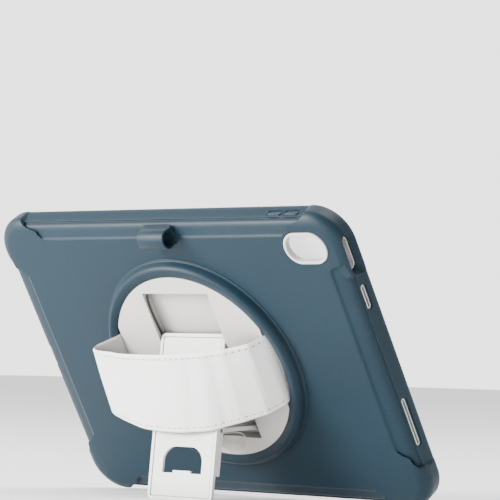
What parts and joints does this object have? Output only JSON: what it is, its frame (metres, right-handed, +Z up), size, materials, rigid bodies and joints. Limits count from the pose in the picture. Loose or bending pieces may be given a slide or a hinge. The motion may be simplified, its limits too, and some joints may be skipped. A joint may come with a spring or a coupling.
{
  "type": "tablet case",
  "caption": "Rugged tablet case with a turning back disc, a folding stand, a hand strap, a pen loop and a lift-off front frame with screen film.",
  "frame": {"origin": "centre of the footprint on the surface that the case stands on, stand open", "axes": "+X along the case's long side, to the right as its back is seen; +Y towards the side that the screen faces; +Z up"},
  "size_m": [0.264, 0.1192, 0.1695],
  "materials": {
    "soft_cover": "fine matte grain, slate teal",
    "hard_shell": "satin, warm light grey",
    "clear_film": "clear and glossy",
    "black_tape": "matte black adhesive tape",
    "strap_leather": "off-white coated leather with stitched edges",
    "steel": "turned steel"
  },
  "bodies": {
    "shell": {"back_cover": "soft_cover", "inner_shell": "hard_shell", "camera_bezel": "hard_shell", "ring_surround": "soft_cover", "turntable_retainer": "hard_shell", "retainer_screws": "steel", "pen_loop": "soft_cover"},
    "volume_up": {"volume_up_button": "soft_cover"},
    "volume_down": {"volume_down_button": "soft_cover"},
    "front": {"front_frame": "hard_shell", "screen_film": "clear_film", "film_tape": "black_tape"},
    "turntable": {"turntable_disc": "hard_shell", "turntable_base": "hard_shell", "base_screws": "steel", "hand_strap": "strap_leather", "strap_clamp_bars": "steel", "strap_rivets": "steel", "arm_pivot_pin": "steel"},
    "arm": {"prop_arm": "hard_shell", "stand_pivot_pin": "steel"},
    "stand": {"stand_frame": "hard_shell", "stand_panel": "hard_shell", "guide_pins": "steel"}
  },
  "joints": [
    {"name": "volume_up_press", "type": "slide", "parent": "shell", "child": "volume_up", "axis": [0, 0.536, -0.8442], "range_m": [0, 0.0005], "stiffness_N_per_m": 400, "springref_m": -0.0006},
    {"name": "volume_down_press", "type": "slide", "parent": "shell", "child": "volume_down", "axis": [0, 0.536, -0.8442], "range_m": [0, 0.0005], "stiffness_N_per_m": 400, "springref_m": -0.0006},
    {"name": "front_lift", "type": "slide", "parent": "shell", "child": "front", "axis": [0, 0.8442, 0.536], "range_m": [0, 0.04]},
    {"name": "turntable_turn", "type": "hinge", "parent": "shell", "child": "turntable", "pos_m": [0, -0.00385, 0.08037], "axis": [0, -0.8442, -0.536], "continuous": true},
    {"name": "arm_fold", "type": "hinge", "parent": "turntable", "child": "arm", "pos_m": [0, 0.0188, 0.04358], "axis": [1, 0, 0], "range_deg": [-60.8, 0]},
    {"name": "stand_fold", "type": "hinge", "parent": "arm", "child": "stand", "pos_m": [0, -0.01813, 0.04151], "axis": [1, 0, 0], "range_deg": [0, 98.8]}
  ],
  "couplings": [
    {"joint": "stand_fold", "follows": "arm_fold", "ratio": -1.625}
  ]
}
